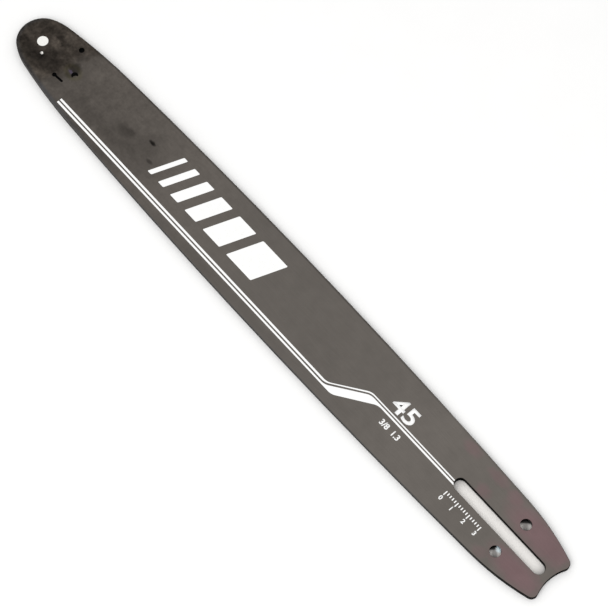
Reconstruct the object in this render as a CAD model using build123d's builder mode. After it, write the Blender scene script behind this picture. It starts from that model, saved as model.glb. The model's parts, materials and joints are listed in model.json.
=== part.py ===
from build123d import *
import os
from math import asin, floor, pi, radians, tan

# Chainsaw guide bar: three steel laminations with a sprocket running in the nose.
# The bar lies on its back face, printed face up. X runs along the bar to the nose and Z is
# the thickness. The origin is on the back face, midway between the two tail holes.
# All lengths are in millimetres and all angles in degrees.

# Laminations
side_plate_thickness = 1.4
core_thickness = 1.3
groove_depth = 6.5
edge_break = 0.25

# Outline, from the nose back to the tail
nose_reach = 473.6
nose_radius = 17.4
nose_end_angle = 27.5
shoulder_radius = 41.5
shoulder_end_angle = 9.3
flank_radius = 450.0
flank_end_angle = 2.2
tail_station = 9.6
tail_half_width = 24.35
tail_radius = 172.0
tail_arc_angle = 22.0
tail_corner_radius = 4.1
notch_radius = 29.7
notch_floor = 33.5

# Stud slot and tail holes
slot_nose_end = 48.6
slot_tail_end = 28.5
slot_width = 8.8
tail_hole_distance = 25.4
tail_hole_diameter = 7.4
oil_channel_width = 3.0

# Nose bearing and sprocket
hub_offset = 0.6
rivet_shank_diameter = 6.0
rivet_head_diameter = 7.5
rivet_head_angle = 100.0
rivet_clearance = 0.03
race_diameter = 15.5
roller_diameter = 2.4
roller_gap = 0.1
running_clearance = 0.05
side_clearance = 0.05
tooth_count = 7
tooth_cover = 0.4
gullet_radius = 7.5
ring_wall = 2.35
pocket_clearance = 1.5
horn_round = 1.0
grease_hole_diameter = 2.0
grease_hole_angle = 138.0
grease_mouth_break = 0.25
grease_mouth_angle = 90.0

# Weld marks on the printed face, as setback from the nose tip and distance off the axis
pit = (40.6, -15.2)
pit_diameter = 3.9
pit_depth = 0.9
dish = (52.5, 0.2)
dish_diameter = 4.8
dish_depth = 0.6
gouge_head = (43.2, 10.0)
gouge_head_diameter = 3.1
gouge_tip = (50.3, 9.4)
gouge_width = 1.6
gouge_depth = 0.6

# Worked-out sizes
bar_thickness = 2 * side_plate_thickness + core_thickness
core_top = side_plate_thickness + core_thickness
nose_center = nose_reach - nose_radius
hub = nose_center - hub_offset
hub_axis = Axis((hub, 0, 0), (0, 0, 1))
hub_section = Plane((hub, 0, 0), (1, 0, 0), (0, -1, 0))
slot_length = slot_nose_end + slot_tail_end
slot_center = (slot_nose_end - slot_tail_end) / 2
race_radius = race_diameter / 2
roller_radius = roller_diameter / 2
track_radius = race_radius + running_clearance + roller_radius
sprocket_bore_radius = track_radius + roller_radius + running_clearance
gullet_floor = sprocket_bore_radius + ring_wall
tooth_tip_radius = nose_radius - tooth_cover
running_width = core_thickness - 2 * side_clearance
running_floor = side_plate_thickness + side_clearance
shank_radius = rivet_shank_diameter / 2
head_radius = rivet_head_diameter / 2
grease_radius = grease_hole_diameter / 2
dish_radius = dish_diameter / 2
dish_curve = (dish_radius**2 + dish_depth**2) / (2 * dish_depth)
head_depth = (head_radius - shank_radius) / tan(radians(rivet_head_angle / 2))
roller_count = floor(pi / asin((roller_diameter + roller_gap) / (2 * track_radius)))


# Width of the bar from the nose back along both rails, run out past the tail
with BuildSketch() as band:
    with BuildLine():
        nose = CenterArc((nose_center, 0), nose_radius, 0, 90 - nose_end_angle)
        shoulder = JernArc(nose @ 1, nose % 1, shoulder_radius, nose_end_angle - shoulder_end_angle)
        flank = JernArc(shoulder @ 1, shoulder % 1, flank_radius, shoulder_end_angle - flank_end_angle)
        belly = TangentArc(flank @ 1, (tail_station, tail_half_width), tangent=flank % 1)
        tail = JernArc(belly @ 1, belly % 1, tail_radius, tail_arc_angle)
        Line(tail @ 1, ((tail @ 1).X, 0))
        mirror(about=Plane.XZ)
    make_face()

# Hollow that the tail is cut to, an arc centred behind the bar
with BuildSketch() as tail_notch:
    with Locations((-notch_floor - notch_radius, 0)):
        Circle(notch_radius)

# Slot for the studs and the pair of holes, the same through every lamination
with BuildSketch() as tail_cuts:
    with Locations((slot_center, 0)):
        SlotOverall(slot_length, slot_width)
    with GridLocations(0, tail_hole_distance, 1, 2):
        Circle(tail_hole_diameter / 2)

# Blank that both side plates are stamped to
with BuildSketch() as side_blank:
    add(band.sketch)
    add(tail_notch.sketch, mode=Mode.SUBTRACT)
    fillet(side_blank.vertices().group_by(Axis.X)[0], tail_corner_radius)
    add(tail_cuts.sketch, mode=Mode.SUBTRACT)


def mark_place(mark, height=0.0):
    """Place of a weld mark, from its setback and its distance off the axis."""
    setback, off_axis = mark
    return (nose_reach - setback, off_axis, height)


# Gouge left by a weld: a straight scratch with a round head towards the nose
with BuildSketch() as gouge:
    with Locations(mark_place(gouge_head), mark_place(gouge_tip)):
        Circle(gouge_width / 2)
    make_hull()
    with Locations(mark_place(gouge_head)):
        Circle(gouge_head_diameter / 2)

# Front side plate, with the printed face up
with BuildPart() as front_side_plate:
    with BuildSketch(Plane.XY.offset(core_top)):
        add(side_blank.sketch)
    extrude(amount=side_plate_thickness)
    chamfer(front_side_plate.faces().sort_by(Axis.Z)[-1].edges(), edge_break)
    with Locations((hub, 0, bar_thickness)):
        CounterSinkHole(shank_radius + rivet_clearance, head_radius + rivet_clearance,
                        counter_sink_angle=rivet_head_angle)
        with PolarLocations(track_radius, 1, grease_hole_angle):
            CounterSinkHole(grease_radius, grease_radius + grease_mouth_break,
                            counter_sink_angle=grease_mouth_angle)
    with Locations(mark_place(pit, bar_thickness)):
        Hole(pit_diameter / 2, pit_depth)
    with Locations(mark_place(dish, bar_thickness - dish_depth + dish_curve)):
        Sphere(dish_curve, mode=Mode.SUBTRACT)
    with BuildSketch(Plane.XY.offset(bar_thickness)):
        add(gouge.sketch)
    extrude(amount=-gouge_depth, mode=Mode.SUBTRACT)

# Back side plate, the plain twin of the front one
with BuildPart() as back_side_plate:
    with BuildSketch():
        add(side_blank.sketch)
    extrude(amount=side_plate_thickness)
    chamfer(back_side_plate.faces().sort_by(Axis.Z)[0].edges(), edge_break)
    with Locations(Location((hub, 0, 0), (180, 0, 0))):
        CounterSinkHole(shank_radius + rivet_clearance, head_radius + rivet_clearance,
                        counter_sink_angle=rivet_head_angle)
        with PolarLocations(track_radius, 1, -grease_hole_angle):
            CounterSinkHole(grease_radius, grease_radius + grease_mouth_break,
                            counter_sink_angle=grease_mouth_angle)

# Core plate: its edges stand in from the rails and leave the chain groove, its nose end is
# hollowed round the sprocket, and a channel leads oil from each tail hole into the groove
with BuildPart() as core_plate:
    with BuildSketch(Plane.XY.offset(side_plate_thickness)) as core_blank:
        add(band.sketch)
        offset(amount=-groove_depth, mode=Mode.REPLACE)
        add(tail_notch.sketch, mode=Mode.SUBTRACT)
        with Locations((hub, 0)):
            Circle(tooth_tip_radius + pocket_clearance, mode=Mode.SUBTRACT)
        fillet(core_blank.vertices().group_by(Axis.X)[-1], horn_round)
        add(tail_cuts.sketch, mode=Mode.SUBTRACT)
        with GridLocations(0, tail_hole_distance + 2 * groove_depth, 1, 2):
            Rectangle(oil_channel_width, 2 * groove_depth, mode=Mode.SUBTRACT)
    extrude(amount=core_thickness)

# Hub rivet, upset flush into a countersink in each side plate
with BuildPart() as hub_rivet:
    with BuildSketch(hub_section):
        with BuildLine():
            Polyline((0, 0), (head_radius, 0), (shank_radius, head_depth),
                     (shank_radius, bar_thickness - head_depth), (head_radius, bar_thickness),
                     (0, bar_thickness), close=True)
        make_face()
    revolve(axis=hub_axis)

# Bearing race, held still between the side plates by the rivet
with BuildPart() as bearing_race:
    with BuildSketch(Plane.XY.offset(side_plate_thickness)):
        with Locations((hub, 0)):
            Circle(race_radius)
            Circle(shank_radius + rivet_clearance, mode=Mode.SUBTRACT)
    extrude(amount=core_thickness)

# Nose sprocket: a ring on the rollers whose teeth stand between round gullets
with BuildPart() as nose_sprocket:
    with BuildSketch(Plane.XY.offset(running_floor)):
        with Locations((hub, 0)):
            Circle(tooth_tip_radius)
            Circle(sprocket_bore_radius, mode=Mode.SUBTRACT)
            with PolarLocations(gullet_floor + gullet_radius, tooth_count, 180 / tooth_count):
                Circle(gullet_radius, mode=Mode.SUBTRACT)
    extrude(amount=running_width)


def roller(place):
    """One short roller of the nose bearing, standing on the track at a place in plan."""
    with BuildPart() as piece:
        with BuildSketch(Plane.XY.offset(running_floor)):
            with Locations(place):
                Circle(roller_radius)
        extrude(amount=running_width)
    return piece.part


# Rollers fill the track, the first one under the grease hole
track = PolarLocations(track_radius, roller_count, grease_hole_angle)
rollers = [roller((hub + spot.position.X, spot.position.Y)) for spot in track]

# One file for each piece
pieces = {
    "front_side_plate": front_side_plate.part,
    "back_side_plate": back_side_plate.part,
    "core_plate": core_plate.part,
    "hub_rivet": hub_rivet.part,
    "bearing_race": bearing_race.part,
    "nose_sprocket": nose_sprocket.part,
}
for number, piece in enumerate(rollers, 1):
    pieces[f"bearing_roller_{number:02d}"] = piece

os.makedirs("parts", exist_ok=True)
for name, piece in pieces.items():
    piece.label = name
    export_step(piece, f"parts/{name}.step")
    print(name, round(piece.volume, 2))
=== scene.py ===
# %% [markdown]
# # A chainsaw guide bar
# A guide bar is the flat steel blade that a saw chain runs round. Three laminations make a bar
# about 4 mm thick, and a small toothed wheel turns between them in the nose. The solids come in
# at their real size and are never moved. This lesson gives each one its finish, lays the white
# print on the upper face, and sets up a plain studio with a camera.

# %% Load the frame
import json
import math
import bmesh
import bpy
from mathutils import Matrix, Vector


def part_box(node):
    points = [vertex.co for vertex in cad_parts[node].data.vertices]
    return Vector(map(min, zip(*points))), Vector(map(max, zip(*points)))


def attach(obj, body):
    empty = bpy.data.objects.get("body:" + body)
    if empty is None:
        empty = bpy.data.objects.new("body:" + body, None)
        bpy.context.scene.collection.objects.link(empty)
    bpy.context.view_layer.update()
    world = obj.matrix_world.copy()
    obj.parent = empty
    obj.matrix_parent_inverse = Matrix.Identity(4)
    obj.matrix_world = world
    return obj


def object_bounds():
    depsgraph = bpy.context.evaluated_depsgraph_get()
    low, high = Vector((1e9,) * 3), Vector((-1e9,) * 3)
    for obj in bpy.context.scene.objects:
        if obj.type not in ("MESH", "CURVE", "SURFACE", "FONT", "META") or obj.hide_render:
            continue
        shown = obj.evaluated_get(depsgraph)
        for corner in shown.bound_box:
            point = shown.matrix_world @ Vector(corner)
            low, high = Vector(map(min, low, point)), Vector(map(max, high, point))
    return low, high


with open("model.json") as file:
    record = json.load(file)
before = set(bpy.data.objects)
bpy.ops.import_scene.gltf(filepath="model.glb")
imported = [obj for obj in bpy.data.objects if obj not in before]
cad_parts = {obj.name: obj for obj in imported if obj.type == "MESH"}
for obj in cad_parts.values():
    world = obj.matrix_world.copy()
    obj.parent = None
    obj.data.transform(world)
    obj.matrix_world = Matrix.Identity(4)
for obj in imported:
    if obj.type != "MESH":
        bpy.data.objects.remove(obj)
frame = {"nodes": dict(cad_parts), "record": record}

cad_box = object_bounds()
nodes = frame["nodes"]

# %% [markdown]
# ## Measuring the bar
# Everything that follows is placed from the solids themselves, so that it stays right when the
# bar changes size. Marks on the face are measured the way a maker would do it with a rule: the
# setback from the nose tip, and the distance off the middle line. One helper turns the two
# into a point on the face. Blender counts in metres, so the helper also changes the units.

# %% Measure the face
MM = 0.001
plate_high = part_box("front_side_plate")[1]
rivet_low, rivet_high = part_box("hub_rivet")
nose_tip = plate_high.x / MM
face_height = plate_high.z / MM
hub = (rivet_low + rivet_high) / 2 / MM


def on_face(setback, across):
    """The point of the printed face at a setback from the nose tip and a distance off the middle."""
    return Vector((nose_tip - setback, -across, face_height)) * MM


print("nose tip at", round(nose_tip, 2), "mm, face at", round(face_height, 2), "mm")

# %% [markdown]
# The slot and the two tail holes are fits, so their sizes are in the bar's record, and so are
# the places of the holes. Only the front end of the slot is written here, in millimetres from
# the holes. A spot on the wall of one hole is kept too, where a highlight is painted.

# %% Measure the slot and the tail holes
slot_front = 48.6
bores = [mount for mount in frame["record"]["mounts"] if mount["kind"] == "bore"]
slot = next(mount for mount in frame["record"]["mounts"] if mount["name"] == "stud_slot")
slot_side = slot["dims"]["hole_r_mm"]
slot_back = slot_front - slot["dims"]["slot_length_mm"]
slot_turn = slot_front - slot_side
tail_holes = [Vector(bore["pos_m"]) / MM for bore in bores]
hole_radius = bores[0]["dims"]["r_mm"]
glint_spot = tail_holes[0] - Vector((0.0, hole_radius, 0.0))
print("slot from", slot_front, "to", round(slot_back, 2), "mm, and", len(tail_holes), "holes")

# %% [markdown]
# ## Camera
# The camera looks down on the bar from behind its tail, steeply enough to see the whole face
# and still show a little of the walls that face it. A long lens from over a metre away keeps
# the taper of the bar true. It could be framed by eye, but a place and a target as two named
# points are easier to set again.

# %% Set the camera
camera_place = Vector((-193.7, 332.0, 1192.1)) * MM
camera_target = Vector((198.3, -7.6, 0.0)) * MM
lens_length = 121.8
sensor_width = 36.0
bpy.ops.object.select_all(action="DESELECT")
bpy.ops.object.camera_add(location=camera_place)
camera = bpy.context.object
camera.name = "camera"
camera.rotation_euler = (camera_target - camera_place).to_track_quat("-Z", "Y").to_euler()
camera.data.lens = lens_length
camera.data.sensor_width = sensor_width
bpy.context.scene.camera = camera
print("camera stands", round((camera_target - camera_place).length, 3), "m from its target")

# %% [markdown]
# ## Light
# The bar lies in a light tent: a white sky lights it evenly from all round, so its shadow is a
# soft, narrow band along every edge. One weak soft box behind the camera adds a little
# direction, which keeps the edges readable from other angles. The Standard view keeps white
# paint white, where the default view would grey it.

# %% Light the studio
sky_white = (1.0, 1.0, 1.0, 1.0)
sky_strength = 0.92
soft_box_place = Vector((-0.15, 0.85, 1.15))
soft_box_size = 1.0
soft_box_power = 6.9
sky = bpy.data.worlds.new("sky")
sky.use_nodes = True
sky.node_tree.nodes["Background"].inputs["Color"].default_value = sky_white
sky.node_tree.nodes["Background"].inputs["Strength"].default_value = sky_strength
bpy.context.scene.world = sky
bpy.context.scene.view_settings.view_transform = "Standard"
bpy.ops.object.light_add(type="AREA", location=soft_box_place)
soft_box = bpy.context.object
soft_box.name = "soft_box"
soft_box.rotation_euler = (camera_target - soft_box_place).to_track_quat("-Z", "Y").to_euler()
soft_box.data.size = soft_box_size
soft_box.data.energy = soft_box_power
print("soft box stands", round((camera_target - soft_box_place).length, 2), "m from the bar")

# %% [markdown]
# ## Writing shader maths in Python
# A finish is mostly sums on masks: how far from the nose, how close to the rim, how blotchy.
# Joining dozens of Math nodes by hand is slow to read, so a small class wraps one socket and
# lets the signs + - * / add the Math nodes. Every other node comes from its one method, which
# takes the node's type, its settings, and the value or link for each socket.

# %% A socket that can be reckoned with


class Wire:
    """A shader socket that takes arithmetic."""

    def __init__(self, socket):
        self.socket = socket
        self.tree = socket.id_data

    def node(self, kind, settings, inputs, output=0):
        """Adds a node to the same tree: its settings first, then its sockets."""
        made = self.tree.nodes.new(kind)
        for name, value in settings.items():
            setattr(made, name, value)
        for name, value in inputs.items():
            if isinstance(value, Wire):
                self.tree.links.new(value.socket, made.inputs[name])
            else:
                made.inputs[name].default_value = value
        return Wire(made.outputs[output])

    def math(self, operation, first, second):
        """Adds a Math node."""
        return self.node("ShaderNodeMath", {"operation": operation}, {0: first, 1: second})

    def __add__(self, other):
        return self.math("ADD", self, other)

    def __radd__(self, other):
        return self.math("ADD", other, self)

    def __sub__(self, other):
        return self.math("SUBTRACT", self, other)

    def __rsub__(self, other):
        return self.math("SUBTRACT", other, self)

    def __mul__(self, other):
        return self.math("MULTIPLY", self, other)

    def __rmul__(self, other):
        return self.math("MULTIPLY", other, self)

    def __truediv__(self, other):
        return self.math("DIVIDE", self, other)

    def __pow__(self, other):
        return self.math("POWER", self, other)

    def __abs__(self):
        return self.math("ABSOLUTE", self, 0.0)


print("shader sockets now take arithmetic")

# %% [markdown]
# A few words are used in every finish: a soft step from 0 to 1, a cloud of noise of a given size
# in millimetres, a place led astray by noise, and the distance from an upright axis. They are
# short functions on top of the class. A place has three numbers at once, which a Math node
# can't hold, so it goes through Vector Math.

# %% Words for masks


def fade(value, start, end):
    """A soft step: 0 at start, 1 at end."""
    sockets = {"Value": value, "From Min": start, "From Max": end}
    return value.node("ShaderNodeMapRange", {"interpolation_type": "SMOOTHSTEP"}, sockets)


def split(vector):
    """The x, y and z of a vector."""
    parts = vector.node("ShaderNodeSeparateXYZ", {}, {0: vector})
    return [Wire(output) for output in parts.socket.node.outputs]


def vector_math(operation, *vectors):
    """Adds a Vector Math node: the first vector is a socket, the others may be plain numbers."""
    sockets = dict(enumerate(vectors))
    return vectors[0].node("ShaderNodeVectorMath", {"operation": operation}, sockets)


def cloud(place, size, detail=2.0, distortion=0.0):
    """Noise about 0.5 with blotches of a size in millimetres: one number, or one for each axis."""
    sizes = size if isinstance(size, tuple) else (size, size, size)
    stretched = vector_math("MULTIPLY", place, tuple(1.0 / length for length in sizes))
    sockets = {"Vector": stretched, "Scale": 1.0, "Detail": detail, "Distortion": distortion}
    return place.node("ShaderNodeTexNoise", {}, sockets)


def wander(place, size, reach):
    """The place led astray by noise: the size of its bends and how far they reach, in millimetres."""
    shrunk = vector_math("MULTIPLY", place, (1.0 / size, 1.0 / size, 1.0 / size))
    sockets = {"Vector": shrunk, "Scale": 1.0, "Detail": 3.0}
    drift = place.node("ShaderNodeTexNoise", {}, sockets, output="Color")
    shift = vector_math("SUBTRACT", drift, (0.5, 0.5, 0.5))
    return vector_math("MULTIPLY_ADD", shift, (2.0 * reach, 2.0 * reach, 0.0), place)


def around(place, axis):
    """The distance from an upright axis through a point, in millimetres."""
    x, y = split(place)[:2]
    along = x - axis.x
    aside = y - axis.y
    return (along * along + aside * aside) ** 0.5


print("masks: fade, split, vector_math, cloud, wander and around")

# %% [markdown]
# Colours have words of their own: a colour mixed towards another, and a colour under a wash that
# darkens it. The rest start a finish, join what varies over the surface to its shader, and give
# the finish to the solids.

# %% Words for colours and finishes


def first_wire(*parts):
    """The first of some values that is a socket, to which a node can be added."""
    return next(part for part in parts if isinstance(part, Wire))


def mixed(colour, other, amount):
    """A colour turned towards another by an amount."""
    settings = {"data_type": "RGBA"}
    sockets = {0: amount, 6: colour, 7: other}
    return first_wire(colour, other, amount).node("ShaderNodeMix", settings, sockets, output=2)


def washed(colour, wash, amount=1.0):
    """A colour multiplied by a wash, which may be a colour or a tone."""
    settings = {"data_type": "RGBA", "blend_type": "MULTIPLY"}
    sockets = {0: amount, 6: colour, 7: wash}
    return first_wire(colour, wash, amount).node("ShaderNodeMix", settings, sockets, output=2)


def bumped(height, depth):
    """A normal with the relief of a height from 0 to 1, as deep as a length in millimetres."""
    return height.node("ShaderNodeBump", {}, {"Height": height, "Distance": depth * MM})


def start_finish(name, **constants):
    """A new material, its shader with the sockets that stay constant, and the place in millimetres."""
    finish = bpy.data.materials.new(name)
    finish.use_nodes = True
    shader = finish.node_tree.nodes["Principled BSDF"]
    for socket, value in constants.items():
        shader.inputs[socket.replace("_", " ")].default_value = value
    metres = Wire(shader.outputs[0]).node("ShaderNodeTexCoord", {}, {}, output="Object")
    return finish, shader, vector_math("MULTIPLY", metres, (1.0 / MM, 1.0 / MM, 1.0 / MM))


def feed(shader, **sockets):
    """Joins what varies over the surface to the shader."""
    for socket, wire in sockets.items():
        wire.tree.links.new(wire.socket, shader.inputs[socket.replace("_", " ")])


def give(finish, *names):
    """Gives a finish to the solids of these names."""
    for name in names:
        for holder in nodes[name].material_slots:
            holder.material = finish
    print(finish.name, "on", len(names), "of the solids")


print("colours: mixed, washed and bumped; finishes: start_finish, feed and give")

# %% [markdown]
# ## Floor
# The table is a plain white sheet, big enough to fill every view.

# %% Lay the floor
floor_size = 20.0
floor_gap = 0.05 * MM
bpy.ops.mesh.primitive_plane_add(size=floor_size, location=(0.0, 0.0, cad_box[0].z - floor_gap))
floor = bpy.context.object
floor.name = "floor"
floor_white, shader, place = start_finish("floor_white", Roughness=0.8, Specular_IOR_Level=0.2)
floor.data.materials.append(floor_white)
print("floor lies at", round(floor.location.z / MM, 3), "mm")

# %% [markdown]
# A faint unevenness keeps the sheet from looking computed. Under the stud slot the sheet is
# darkened with a warm painted shade, more towards the slot's ends, and with a painted contact
# shadow at the foot of the slot's wall. The distance from that wall is the radius of the slot's
# round end less the distance from its middle line, where a MAXIMUM keeps the straight part straight.

# %% Paint shade on the sheet under the slot
floor_tint = (0.920, 0.917, 0.911, 1.0)
slot_shade_tint = (0.975, 0.948, 0.920, 1.0)
foot_shadow_width, foot_shadow = 0.45, 0.85
x, y = split(place)[:2]
slot_end = abs(x - (slot_front + slot_back) / 2) - (slot_front - slot_back) / 2
round_part = slot_end.math("MAXIMUM", slot_end + slot_side, 0.0)
from_wall = slot_side - (round_part * round_part + y * y) ** 0.5
slot_shade = fade(abs(y), slot_side + 3.0, slot_side) * fade(slot_end, 4.0, 1.0)
sheet = 0.985 + 0.03 * cloud(place, 30.0)
# painted shade under the slot, darker towards its ends
sheet = sheet * (1.0 - 0.34 * slot_shade * fade(slot_end, -8.0, 1.0))
# a painted contact shadow along the foot of the slot's wall
sheet = sheet * (1.0 - foot_shadow * slot_shade * fade(from_wall, foot_shadow_width, 0.0))
colour = washed(washed(floor_tint, sheet), slot_shade_tint, slot_shade)
print("oil under", round(slot_front - slot_back, 1), "mm of slot")

# %% [markdown]
# Under the tail holes the sheet gets a warm painted shade, darkest at the front and paler at
# the sides. Under one hole a cold painted highlight lifts most of that shade.

# %% Paint shade and a highlight on the sheet under the holes
warm_shade_tint = (1.0, 0.955, 0.915, 1.0)
painted_glint_tint = (0.88, 0.97, 1.0, 1.0)
shade_reach = 5.0
# a cold painted highlight on the sheet under one hole, which lifts most of the shade there
painted_glint = fade(around(place, glint_spot), 3.0, 1.2)


def soaked(forward, sideways):
    """How dark the painted shade is at a place under a hole."""
    paler = fade(abs(sideways), 1.0, 3.8) * fade(forward, 3.2, 1.0)
    ends = 0.36 * fade(forward, 2.0, 4.0) + 0.2 * fade(forward, -1.0, -4.5)
    return 0.62 + ends - 0.45 * paler


# painted shade on the sheet under each tail hole
for hole in tail_holes:
    along = x - hole.x
    aside = y - hole.y
    under = fade(around(place, hole), shade_reach, 0.8 * shade_reach)
    dark = soaked(along - aside, along + aside) * under
    colour = washed(colour, 1.0 - dark * (1.0 - 0.85 * painted_glint))
    colour = washed(colour, warm_shade_tint, under * (1.0 - painted_glint))
feed(shader, Base_Color=washed(colour, painted_glint_tint, painted_glint))
print("oil under", len(tail_holes), "holes, wiped at", [round(side, 1) for side in glint_spot[:2]])

# %% [markdown]
# ## Plate paint
# The side plates carry a thin, matt, grey-brown coat. Under it the strip steel was ground along
# its length, and the grain still shows a little. A flat colour would look like card, so the coat
# gets slow drifts of tone, small blotches, the long grain and a fine tooth that breaks up the
# light. Its bump is only as deep as the tooth of real paint, a few hundredths of a millimetre.

# %% Mix the plate coat
paint_grey = (0.127, 0.1145, 0.103, 1.0)
paint_gloss = 0.08
edge_tint = (0.1, 0.1, 0.1, 1.0)
coat_relief = 0.03
plate_gloss = {"Specular_IOR_Level": paint_gloss, "Specular_Tint": edge_tint}


def coat(place):
    """The tone of the coat, and the height of its grain and tooth."""
    grain = cloud(place, (14.0, 0.5, 0.5), detail=3.0)
    tooth = cloud(place, 0.45)
    drift = cloud(place, 55.0, detail=1.0)
    blotch = cloud(place, 8.0, detail=3.0)
    tone = 0.62 + 0.16 * drift + 0.22 * blotch + 0.20 * grain + 0.18 * tooth
    return tone, 0.6 * grain + 0.4 * tooth


print("paint grey is", paint_grey[:3])

# %% [markdown]
# ## Walls
# The upright walls are found by the way their surface faces. The bevels round the outline are as
# bare as the walls, and those of the slot and the holes are painted, apart from one side of the
# slot's front end. The hardened rails are darker than the paint and blacken by and by towards
# the tail. The walls of the slot and of the holes keep a black scale. On the wall of one hole a
# pale blue painted highlight takes its place, brightest low down.

# %% Masks of the walls
tail_inside = 17.0
black_from, black_to, rail_black_to = 64.0, 52.0, -34.0


def within_tail(y):
    """The mask of what lies inside the tail, away from its rails."""
    return fade(abs(y), tail_inside + 0.5, tail_inside)


def upright(place):
    """The mask of the upright walls and of the bevels that are not painted."""
    normal = place.node("ShaderNodeTexCoord", {}, {}, output="Normal")
    level = abs(split(normal)[2])
    x, y = split(place)[:2]
    bare_end = fade(x, slot_turn + 1.0, slot_turn + 3.0) * fade(y, 0.5, -0.5)
    painted = within_tail(y) * fade(level, 0.5, 0.65) * (1.0 - bare_end)
    painted = painted * fade(x, slot_front + 3.0, slot_front + 1.0)
    painted = painted * fade(x, slot_back - 3.0, slot_back - 2.0)
    return fade(level, 0.95, 0.6) * (1.0 - painted)


def blackened(place, wall):
    """The mask of the black scale: full in the slot and the holes, by and by along the rails."""
    x, y = split(place)[:2]
    rails = fade(x, black_from, rail_black_to)
    return wall * (rails + within_tail(y) * (fade(x, black_from, black_to) - rails))


def pin_worn(place):
    """The mask of a painted highlight on the wall of one hole, most of all low down."""
    low = fade(split(place)[2], 3.4, 1.6)
    return fade(around(place, glint_spot), 2.7, 1.3) * (0.5 + 0.5 * low)


print("scale blackens from", black_from, "to", black_to, "mm before the tail holes")

# %% [markdown]
# The studs have rubbed the scale in the slot. The inner faces that line the chain groove have no
# paint at all. The scale is metallic with a dark edge tint: that is the one black that stays
# black at a glancing angle.

# %% Colour the walls
rail_dark = (0.076, 0.0735, 0.071, 1.0)
scale_black = (0.006, 0.006, 0.006, 1.0)
slot_rubbed = (0.060, 0.058, 0.056, 1.0)
# pale blue, for the painted highlight on one hole's wall
glint_pale_blue = (0.82, 0.92, 0.99, 1.0)
groove_steel = (0.055, 0.053, 0.051, 1.0)


def with_walls(place, colour, inner_face):
    """A plate's colour with its walls and its bare inner face; also the masks of wall and scale."""
    x, y, z = split(place)
    wall = upright(place)
    inner = fade(abs(z - inner_face), 0.08, 0.02) * (1.0 - wall)
    uneven = 0.6 + 0.8 * cloud(place, (1.2, 1.2, 0.5), detail=3.0)
    colour = mixed(colour, washed(groove_steel, uneven), inner)
    colour = mixed(colour, washed(rail_dark, uneven), wall)
    rubbed = fade(abs(y), slot_side + 0.8, slot_side + 0.4)
    rubbed = rubbed * fade(x, slot_turn + 3.0, slot_turn)
    rubbed = rubbed * fade(x, slot_back - 2.5, slot_back - 1.0)
    painted_shine = pin_worn(place)
    black = blackened(place, wall)
    scale = mixed(mixed(scale_black, slot_rubbed, rubbed), glint_pale_blue, painted_shine)
    return mixed(colour, scale, black), wall, black * (1.0 - 0.9 * painted_shine)


print("walls: rail, scale, rubbed slot, worn hole and groove")

# %% [markdown]
# ## Back plate
# The back plate is the plain twin: the coat and its walls, with nothing on it. It comes first,
# because the front plate is the same with more laid over it.

# %% Finish the back plate
core_low, core_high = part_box("core_plate")
back_paint, shader, place = start_finish("back_plate_paint", **plate_gloss)
tone, relief = coat(place)
colour, wall, black = with_walls(place, washed(paint_grey, tone), core_low.z / MM)
feed(shader, Base_Color=colour, Metallic=black)
feed(shader, Roughness=0.48 + 0.16 * relief + 0.1 * wall, Normal=bumped(relief, coat_relief))
give(back_paint, "back_side_plate")

# %% [markdown]
# ## Stains on the front plate
# Heat from welding and hardening has stained the nose a mottled dark brown, out to about 45 mm
# from the tip, and its rim there is a colder grey. The coat is darker for a hand's width behind
# it, partly its own darkening and partly painted shade, with a few soft smudges and specks, and
# the tail has turned plum in patches. Each of them is an oval, and its edge is frayed by
# measuring it on a place that noise has led astray: far for the smudges and patches, a little for
# the specks.

# %% Smudges, specks and patches
# Each has its setback, its distance off the middle, its length, its width and how strong it is;
# a lighter smudge has a strength below nought
smudges = (
    (8.0, 6.7, 5.0, 5.0, 0.38),
    (14.5, 8.8, 8.0, 6.0, 0.30),
    (21.5, 11.3, 12.0, 5.5, 0.30),
    (29.5, 9.4, 10.0, 5.0, 0.18),
    (25.4, 5.2, 9.0, 6.5, -0.65),
    (28.0, 15.5, 17.0, 6.5, -0.50),
    (32.5, -2.5, 17.0, 10.0, 0.45),
    (5.0, 2.0, 8.0, 9.0, 0.25),
    (24.0, 7.5, 13.0, 3.5, -0.35),
    (34.0, 5.5, 9.0, 4.5, 0.20),
    (36.0, 19.5, 16.0, 5.0, -0.42),
    (36.0, -5.0, 16.0, 6.0, 0.28),
    (37.0, -18.5, 16.0, 7.0, -0.32),
    (49.5, -1.5, 8.0, 7.0, 0.35),
    (17.0, -9.5, 26.0, 11.0, 0.48),
    (31.0, -9.5, 20.0, 8.0, 0.40),
    (24.0, -14.5, 18.0, 6.0, 0.25),
    (39.0, -14.0, 9.0, 6.0, -0.40),
    (47.5, -13.5, 12.0, 10.0, 0.18),
    (49.3, 3.2, 10.5, 9.0, 0.58),
    (63.0, 10.8, 14.0, 9.0, -0.14),
    (70.0, 19.5, 34.0, 14.0, -0.16),
    (70.5, -6.5, 10.0, 7.0, 0.16),
    (84.0, -11.0, 60.0, 11.0, 0.17),
    (107.0, -0.6, 16.0, 10.0, 0.28),
    (109.5, 0.6, 7.0, 4.0, 0.20),
    (122.0, -5.0, 64.0, 34.0, 0.16),
    (121.0, -7.5, 8.0, 6.0, 0.12),
    (126.0, 7.0, 16.0, 22.0, 0.12),
    (110.0, 8.0, 30.0, 12.0, -0.08),
    (100.0, -23.0, 56.0, 9.0, 0.18),
    (200.0, -26.0, 72.0, 9.0, 0.10),
    (210.0, -25.5, 230.0, 10.0, 0.06),
)
specks = (
    (26.7, -6.6, 2.8, 3.6, 0.60),
    (125.6, 6.6, 6.6, 3.0, 0.85),
    (134.4, -3.6, 6.0, 3.0, 0.45),
)
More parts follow.
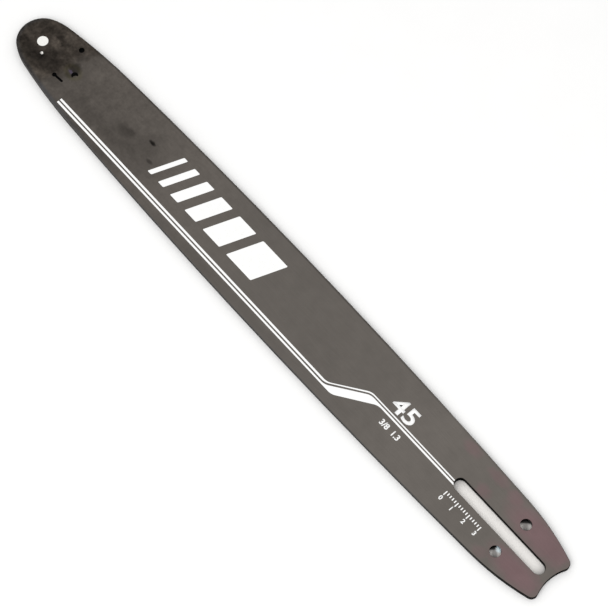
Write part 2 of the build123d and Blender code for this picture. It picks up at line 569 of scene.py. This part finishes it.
plum_patches = (
    (417.0, 21.5, 17.0, 9.0, 0.45),
    (441.0, 7.5, 12.0, 9.0, 0.50),
    (441.0, 20.5, 20.0, 8.0, 0.45),
    (457.0, 19.5, 14.0, 9.0, 0.55),
    (486.0, 14.0, 64.0, 22.0, 0.85),
    (467.0, -20.0, 12.0, 8.0, 0.35),
    (490.0, -12.0, 48.0, 19.0, 0.85),
)
grey_patches = (
    (509.5, 12.0, 9.0, 17.0, 0.70),
    (505.5, 0.0, 9.0, 11.0, 0.50),
    (509.5, -13.0, 8.0, 12.0, 0.45),
)
print("smudges:", len(smudges), "specks:", len(specks), "patches of plum:", len(plum_patches))

# %% [markdown]
# An oval is a circle once its length and width are divided out, so one soft step on the squared
# distance makes its mask. A Math node multiplies each one into the tone, which keeps a smudge
# laid over another from going below black.

# %% Words for ovals


def smudged(tone, ovals, setback, across):
    """A tone with every one of these ovals taken off it."""
    for middle, offset, length, width, strength in ovals:
        along = (setback - middle) / (length / 2)
        aside = (across - offset) / (width / 2)
        spot = fade(along * along + aside * aside, 1.3, 0.0)
        tone = tone * (1.0 - strength * spot)
    return tone


def patched(ovals, setback, across):
    """The mask of these ovals."""
    return 1.0 - smudged(1.0, ovals, setback, across)


print("ovals: smudged and patched")

# %% [markdown]
# The rim needs the distance to the outline. From the tip back, the outline is a chain of
# arcs that run smoothly into each other, so the distance is each arc's radius less the distance
# from its centre. The loop walks along the arcs, finds each centre from the slope at which the
# arc starts, and hands over from one arc to the next where they meet.

# %% Distance to the outline
# Each arc has its radius and the slope of the outline at its far end, in degrees
outline_arcs = ((17.4, 27.5), (41.5, 9.3), (450.0, 2.2), (4780.0, -2.4))


def outline_gap(setback, across):
    """How far a place lies inside the outline, in millimetres."""
    aside = abs(across)
    start = Vector((0.0, 0.0))
    slope = math.radians(90.0)
    gap = None
    for radius, end_slope in outline_arcs:
        centre = start + radius * Vector((math.sin(slope), -math.cos(slope)))
        along = setback - centre.x
        out = aside - centre.y
        inside = radius - (along * along + out * out) ** 0.5
        if gap is None:
            gap = inside
        else:
            gap = gap + fade(setback, start.x - 1.0, start.x + 1.0) * (inside - gap)
        slope = math.radians(end_slope)
        start = centre + radius * Vector((-math.sin(slope), math.cos(slope)))
    return gap


print("arcs followed from the tip:", len(outline_arcs))

# %% [markdown]
# Everything on this face is measured with the rule: setback and distance off the middle. The
# rule is read three times, once on the true place and twice on places led astray.

# %% Lay the rule on the front plate
front_paint, shader, place = start_finish("front_plate_paint", **plate_gloss)


def on_rule(place):
    """The setback of a place from the nose tip, and its distance off the middle."""
    x, y = split(place)[:2]
    return nose_tip - x, 0.0 - y


setback, across = on_rule(place)
strayed = on_rule(wander(place, 4.0, 2.6))
frayed = on_rule(wander(place, 1.6, 0.7))
gap = outline_gap(setback, across)
print("the rule starts", round(nose_tip, 1), "mm before the tail holes")

# %% [markdown]
# The tone comes before the colour. It darkens towards the nose in two slow steps, partly the
# coat's own darkening and partly painted shade for light that falls off towards the nose. It gets
# its mottle there, and loses the smudges and specks. The edge of the upper rail gets a painted
# shade, for its bevel turned from the light: strongest behind the nose, and fainter by and by
# towards the tail.

# %% Tone of the front plate
tone, relief = coat(place)
mottle = cloud(place, 5.0, detail=4.0, distortion=0.4) - 0.5
speckle = cloud(place, 1.7) - 0.5
near_nose = fade(setback, 260.0, 60.0)
# darker towards the nose: partly the coat's own darkening, partly painted shade
tone = tone * (1.0 - 0.25 * fade(setback, 190.0, 60.0) - 0.11 * fade(setback, 405.0, 285.0))
tone = tone * (1.0 + near_nose * (0.5 * mottle + 0.4 * speckle))
tone = smudged(tone, smudges, *strayed)
tone = smudged(tone, specks, *frayed)
# painted shade on the bevel of the upper rail
upper_bevel_shade = 0.36 * fade(setback, 46.0, 60.0) - 0.24 * fade(setback, 320.0, 410.0)
tone = tone * (1.0 - upper_bevel_shade * fade(gap, 1.7, 0.9) * fade(across, 8.0, 14.0))
print("tone of", front_paint.name, "has", len(smudges) + len(specks), "marks")

# %% [markdown]
# Then the colours go on over each other: the grey coat with its plum patches, a warm wash near
# the nose, the brown stain with a ragged edge, and the cold rim.

# %% Colour of the front plate
tail_plum = (0.172, 0.109, 0.114, 1.0)
nose_warm = (1.0, 0.975, 0.955, 1.0)
stain_brown = (0.040, 0.033, 0.027, 1.0)
rim_cold = (0.77, 0.86, 0.99, 1.0)
plum = smudged(patched(plum_patches, *strayed), grey_patches, *strayed)
slow = cloud(place, 20.0) - 0.5
stain = fade(strayed[0] - 0.25 * strayed[1] + 20.0 * slow, 51.0, 39.0)
stain_tone = tone * (1.5 + 2.2 * mottle + 1.3 * speckle)
rim = fade(gap, 3.6, 0.8) * fade(setback, 130.0, 50.0) * fade(across, 15.5, 4.0)
colour = mixed(washed(paint_grey, tone), washed(tail_plum, tone), plum)
colour = washed(colour, nose_warm, near_nose)
colour = mixed(colour, washed(stain_brown, stain_tone), 0.95 * stain)
colour = washed(colour, rim_cold, rim)
print("the stain, the rim and the plum tail are masks on", front_paint.name)

# %% [markdown]
# ## Weld marks
# The welds behind the nose left three marks in the plate: a round pit, a shallow dish and a
# gouge. Their shapes are in the solid. Here the pit and the gouge are black as deep as they lie
# under the face, partly burnt and partly painted shade in the recesses. The dish is black along
# one side only, a painted shade of that wall in a crescent: a disc less a second disc beside it.
# Heat has blued a patch next to that, with a faint ring of straw round both. The ring is a large
# oval with a smaller one taken off it.

# %% Tint the heated patch
blued_steel = (0.082, 0.066, 0.100, 1.0)
straw_tint = (0.97, 0.99, 0.70, 1.0)
blued_patch = (48.7, -0.5, 5.2, 2.4, 0.70)
straw_outside = (50.0, 0.4, 15.5, 11.5, 1.0)
straw_inside = (50.0, 0.4, 11.5, 8.0, 1.0)
straw = smudged(patched([straw_outside], *frayed), [straw_inside], *frayed)
colour = washed(colour, straw_tint, straw)
colour = mixed(colour, blued_steel, patched([blued_patch], *frayed))
colour, wall, black = with_walls(place, colour, core_high.z / MM)
print("blued patch at", blued_patch[0], "mm from the tip")

# %% [markdown]
# The grease hole is the opposite of a burn: a bright drilled hole. Black marks and bare steel
# are both metallic, since a painted black would still shine grey in so white a tent.

# %% Burn and shade the weld marks, and finish the front plate
burn_and_shade_black = (0.004, 0.004, 0.004, 1.0)
drilled_steel = (0.98, 0.97, 0.95, 1.0)
dish = on_face(52.5, -0.2) / MM
dish_light = on_face(54.5, -1.3) / MM
dish_radius = 2.4
roller_low, roller_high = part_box("bearing_roller_01")
grease_hole = (roller_low + roller_high) / 2 / MM
depth = face_height - split(place)[2]
drilled = fade(around(place, grease_hole), 1.12, 1.02)
from_dish = around(place, dish)
in_dish = fade(from_dish, dish_radius + 0.6, dish_radius + 0.2)
# painted shade: a black crescent on one side of the dish
crescent_shade = fade(from_dish, dish_radius + 0.1, dish_radius - 0.2)
crescent_shade = crescent_shade * fade(around(place, dish_light), dish_radius - 0.4, dish_radius)
# black where the face lies deep: partly burnt, partly painted shade in the recesses
burn_and_shade = fade(depth, 0.03, 0.12) * fade(depth, 1.3, 1.1) * fade(gap, 1.0, 2.0)
burn_and_shade = burn_and_shade * fade(setback, 70.0, 65.0) * (1.0 - drilled) * (1.0 - in_dish) + crescent_shade
colour = mixed(mixed(colour, burn_and_shade_black, burn_and_shade), drilled_steel, drilled)
dullness = 0.48 + 0.16 * relief + 0.1 * wall - 0.3 * drilled
feed(shader, Base_Color=colour, Metallic=black + burn_and_shade + drilled)
feed(shader, Roughness=dullness, Normal=bumped(relief, coat_relief))
give(front_paint, "front_side_plate")

# %% [markdown]
# ## Bare steel inside
# The core plate shows only in the groove and at the tail. It is cold-rolled strip with a thin
# film of old oil: metallic, with streaks along the strip. Its walls keep the same scale as those
# of the plates beside it.

# %% Finish the core plate
strip_steel = (0.30, 0.29, 0.275, 1.0)
old_oil = (0.13, 0.115, 0.095, 1.0)
strip_relief = 0.02
core_finish, shader, place = start_finish("core_strip_steel", Metallic=1.0, Specular_Tint=edge_tint)
streaks = cloud(place, (20.0, 0.6, 0.3), detail=3.0)
oil = fade(cloud(place, 9.0, detail=3.0), 0.4, 0.65)
colour = mixed(washed(strip_steel, 0.75 + 0.5 * streaks), old_oil, 0.6 * oil)
# the core's wall in that hole carries the same painted highlight
scale = mixed(scale_black, glint_pale_blue, pin_worn(place))
feed(shader, Base_Color=mixed(colour, scale, blackened(place, upright(place))))
feed(shader, Roughness=0.5 - 0.16 * oil + 0.12 * streaks, Normal=bumped(streaks, strip_relief))
give(core_finish, "core_plate")

# %% [markdown]
# The sprocket and the bearing are hardened and ground, so they are lighter, and their marks run
# in rings round the hub. The rings are the distance from the axis, broken up by noise.

# %% Finish the sprocket and the bearing
sprocket_steel = (0.42, 0.40, 0.37, 1.0)
bearing_steel = (0.92, 0.91, 0.88, 1.0)
ring_grime = (0.10, 0.085, 0.07, 1.0)
ring_relief = 0.008


def ringed_steel(name, colour, ring_width, polish):
    """Ground steel with fine rings round the hub."""
    finish, shader, place = start_finish(name, Metallic=1.0)
    sockets = {0: around(place, hub) / ring_width, 1: 0.3 * cloud(place, 2.0)}
    apart = place.node("ShaderNodeCombineXYZ", {}, sockets)
    rings = place.node("ShaderNodeTexNoise", {}, {"Vector": apart, "Scale": 1.0, "Detail": 3.0})
    grime = fade(cloud(place, 2.5, detail=3.0), 0.48, 0.68)
    ground = washed(colour, 0.7 + 0.6 * rings)
    feed(shader, Base_Color=mixed(ground, ring_grime, 0.35 * grime))
    feed(shader, Roughness=polish + 0.2 * rings + 0.1 * grime, Normal=bumped(rings, ring_relief))
    return finish


rollers = [name for name in nodes if name.startswith("bearing_roller")]
sprocket_finish = ringed_steel("sprocket_ground_steel", sprocket_steel, 0.35, 0.26)
bearing_finish = ringed_steel("bearing_bright_steel", bearing_steel, 0.2, 0.10)
give(sprocket_finish, "nose_sprocket")
give(bearing_finish, "bearing_race", *rollers)

# %% [markdown]
# ## Hub rivet
# The rivet is the brightest thing on the bar: its head was upset and then faced off flush, which
# leaves a clean turned disc. Fine rings in the roughness and the bump give it the turned look,
# and a slightly warm colour keeps it steel and not chrome.

# %% Finish the rivet
rivet_steel = (0.97, 0.96, 0.92, 1.0)
turning_pitch = 0.22
turning_relief = 0.003
rivet_finish, shader, place = start_finish("rivet_turned_steel", Metallic=0.8)
distance = around(place, hub)
turned = distance.math("SINE", distance * (2 * math.pi / turning_pitch), 0.0)
scuff = cloud(place, (0.9, 0.5, 0.5), detail=3.0)
feed(shader, Base_Color=washed(rivet_steel, 0.90 + 0.16 * scuff + 0.03 * turned))
feed(shader, Roughness=0.3 + 0.1 * scuff + 0.03 * turned)
feed(shader, Normal=bumped(0.5 + 0.5 * turned, turning_relief))
give(rivet_finish, "hub_rivet")

# %% [markdown]
# ## White ink
# The print is a coat of screen ink a few hundredths of a millimetre thick, so each mark is a
# real film lying on the face, not a picture in the paint. The ink is slightly uneven, and the
# mesh of the screen leaves pinholes too fine to see from a step away.

# %% Mix the ink
ink_thickness = 0.03 * MM
ink_white = (0.90, 0.90, 0.89, 1.0)
ink_relief = 0.01
white_ink, shader, place = start_finish("white_screen_ink", Specular_IOR_Level=0.3)
cover = cloud(place, 3.0, detail=3.0)
pinhole = fade(cloud(place, 0.35, detail=1.0), 0.30, 0.22)
colour = washed(ink_white, 0.95 + 0.09 * cover)
feed(shader, Base_Color=mixed(colour, paint_grey, 0.5 * pinhole))
feed(shader, Roughness=0.42 + 0.16 * cover, Normal=bumped(cover - 0.4 * pinhole, ink_relief))
print("ink is", round(ink_thickness / MM, 3), "mm thick")

# %% [markdown]
# Flat marks are modelled in edit mode, with four helpers. One tests whether a corner lies at a
# spot of the face, one picks the corners that pass a test, one rounds the picked corners, and
# one finishes the mark. The last puts the mark's place into its mesh and gives it thickness with
# a Solidify modifier, applied.

# %% Words for modelling the marks
pick_reach = 0.01 * MM
rounding_steps = 6


def at(*spots):
    """A test for corners that lie at these spots of the face."""
    places = [on_face(*spot) for spot in spots]
    return lambda point: any((point - place).length < pick_reach for place in places)


def pick(piece, wanted):
    """Selects, in edit mode, the corners of a piece whose place passes a test."""
    bpy.ops.mesh.select_mode(type="VERT")
    bpy.ops.mesh.select_all(action="DESELECT")
    shape = bmesh.from_edit_mesh(piece.data)
    for corner in shape.verts:
        corner.select = wanted(piece.matrix_world @ corner.co)
    shape.select_flush(True)
    bmesh.update_edit_mesh(piece.data)


def round_corners(radius):
    """Rounds the corners that are picked."""
    bpy.ops.mesh.bevel(affect="VERTICES", offset=radius * MM, segments=rounding_steps)


def ink_over(piece, name):
    """Finishes a flat mark as a film of ink on the face, riding on the bar."""
    bpy.ops.object.mode_set(mode="OBJECT")
    bpy.ops.object.transform_apply(location=True, rotation=True, scale=True)
    film = piece.modifiers.new("film", "SOLIDIFY")
    film.thickness = ink_thickness
    film.offset = 1.0
    bpy.ops.object.modifier_apply(modifier=film.name)
    piece.name = name
    piece.data.name = name
    piece.data.materials.append(white_ink)
    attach(piece, "bar")
    print(name, "covers", [round(side / MM, 1) for side in piece.dimensions[:2]], "mm")


print("modelling: at, pick, round_corners and ink_over")

# %% [markdown]
# ## Double pinstripe
# Two thin lines run side by side from behind the nose to the stud slot, and step across the
# bar on the way. The lower one swells into a band in the step. A curve with a bevel would keep
# one width all the way, so each line starts as a small plane whose end edge is extruded from
# corner to corner. The inner edges are then dissolved, and the corners of the step rounded.

# %% Lay the pinstripe
step_rounding = 2.6


def lay_line(name, upper, lower):
    """A printed line whose two long edges pass through these spots of the face, nose end first."""
    upper = [Vector(spot) for spot in upper]
    lower = [Vector(spot) for spot in lower]
    width = upper[0].y - lower[0].y
    high = upper[0] + Vector((width, 0.0))
    low = lower[0] + Vector((width, 0.0))
    bpy.ops.mesh.primitive_plane_add(size=width * MM, location=on_face(*(upper[0] + low) / 2))
    piece = bpy.context.object
    bpy.ops.object.mode_set(mode="EDIT")
    for next_high, next_low in zip(upper[1:], lower[1:]):
        pick(piece, at(high, low))
        move = on_face(*next_high) - on_face(*high)
        bpy.ops.mesh.extrude_region_move(TRANSFORM_OT_translate={"value": move})
        carried = low + next_high - high
        pick(piece, at(carried))
        bpy.ops.transform.translate(value=on_face(*next_low) - on_face(*carried))
        high, low = next_high, next_low
    bpy.ops.mesh.select_all(action="SELECT")
    bpy.ops.mesh.dissolve_limited()
    pick(piece, at(*upper[1:-1], *lower[1:-1]))
    round_corners(step_rounding)
    ink_over(piece, name)


lay_line(
    "print_upper_line",
    upper=((60.5, -17.55), (325.7, -17.25), (348.9, -0.6), (424.7, -0.6)),
    lower=((60.5, -19.05), (325.0, -18.6), (349.5, -1.45), (424.9, -1.45)),
)
lay_line(
    "print_lower_line",
    upper=((60.5, -20.05), (325.8, -19.7), (350.1, -2.4), (425.4, -2.4)),
    lower=((60.5, -21.5), (333.4, -20.85), (358.1, -3.6), (426.6, -3.6)),
)

# %% [markdown]
# ## Slanted bars
# A row of plain slanted bars fills the middle of the face, each wider than the one before it.
# A bar is a square plane, resized to its width, with its upper edge slid along to make the
# slant, so the bars could be any number with one short loop.

# %% Lay the bars
bar_foot, bar_height = -8.5, 24.0
bar_slant = 8.5
bar_rounding = 0.7
bar_gap = 7.0
bar_count = 6
bar_growth = 1.46


def lay_bar(name, setback, width):
    """A slanted bar whose foot starts at a setback."""
    place = on_face(setback + width / 2, bar_foot + bar_height / 2)
    bpy.ops.mesh.primitive_plane_add(size=bar_height * MM, location=place)
    piece = bpy.context.object
    bpy.ops.object.mode_set(mode="EDIT")
    bpy.ops.transform.resize(value=(width / bar_height, 1.0, 1.0), center_override=place)
    pick(piece, lambda point: point.y < place.y)
    bpy.ops.transform.translate(value=(-bar_slant * MM, 0.0, 0.0))
    bpy.ops.mesh.select_all(action="SELECT")
    round_corners(bar_rounding)
    ink_over(piece, name)


bar_setback, bar_width = 139.0, 3.6
for number in range(1, bar_count + 1):
    lay_bar(f"print_bar_{number}", bar_setback, bar_width)
    bar_setback += bar_width + bar_gap
    bar_width *= bar_growth

# %% [markdown]
# ## Plain numbers and a scale
# Beside the step stand plain numbers of the kind found on any such bar: the cutting length in
# centimetres, and the chain's pitch and gauge. The digits start as text, because drawing them
# by hand gains nothing. The text is made a mesh first and only then turned, scaled and put in
# its place. A text's offset fattens its strokes, and too much of it would close the digits.

# %% Lay the numbers
bold, heavy = 0.02, 0.032


def lay_number(name, digits, setback, across, height, stretch=1.0, weight=heavy):
    """Digits that read from the nose to the tail, with their first foot at a spot of the face."""
    bpy.ops.object.text_add(location=(0.0, 0.0, 0.0))
    bpy.context.object.data.body = digits
    bpy.context.object.data.offset = weight
    bpy.ops.object.convert(target="MESH")
    piece = bpy.context.object
    foot = Vector(piece.bound_box[0])
    size = height * MM / piece.dimensions.y
    piece.scale = (stretch * size, size, size)
    piece.rotation_euler.z = math.pi
    piece.location = on_face(setback, across) + foot * piece.scale
    ink_over(piece, name)


lay_number("print_length_number", "45", 362.5, 0.7, 11.5, stretch=1.25, weight=bold)
lay_number("print_chain_numbers", "3/8  1.3", 366.5, -11.0, 4.2)

# %% [markdown]
# A short scale beside the slot shows how far the bar is drawn out. One tick is modelled and an
# Array modifier repeats it: a long one every centimetre, and four rows of short ones between.

# %% Lay the ticks beside the slot
tick_width = 0.7
tick_pitch = 2.0
ticks_apart = 5
tick_head = -8.9
long_tick, short_tick = 3.3, 1.9
scale_start = 427.0
scale_numbers = 4
number_pitch = ticks_apart * tick_pitch


def lay_ticks(name, setback, count, height):
    """A row of ticks that hang from one level, a centimetre apart."""
    place = on_face(setback, tick_head - tick_width / 2)
    bpy.ops.mesh.primitive_plane_add(size=tick_width * MM, location=place)
    piece = bpy.context.object
    bpy.ops.object.mode_set(mode="EDIT")
    pick(piece, lambda point: point.y > place.y)
    drop = (0.0, (height - tick_width) * MM, 0.0)
    bpy.ops.mesh.extrude_region_move(TRANSFORM_OT_translate={"value": drop})
    bpy.ops.object.mode_set(mode="OBJECT")
    row = piece.modifiers.new("row", "ARRAY")
    row.count = count
    row.use_relative_offset = False
    row.use_constant_offset = True
    row.constant_offset_displace = (-number_pitch * MM, 0.0, 0.0)
    bpy.ops.object.modifier_apply(modifier=row.name)
    ink_over(piece, name)


lay_ticks("print_scale_long_ticks", scale_start, scale_numbers, long_tick)
for number in range(1, ticks_apart):
    start = scale_start + number * tick_pitch
    lay_ticks(f"print_scale_short_ticks_{number}", start, scale_numbers - 1, short_tick)

# %% [markdown]
# The long ticks are numbered from the nose end. The same helper lays these digits, each set a
# little towards the nose so that it stands under the middle of its tick.

# %% Number the scale
digit_foot, digit_height = -16.2, 3.2
digit_shift = 0.9
for number in range(scale_numbers):
    start = scale_start + number * number_pitch - digit_shift
    lay_number(f"print_scale_number_{number}", str(number), start, digit_foot, digit_height)
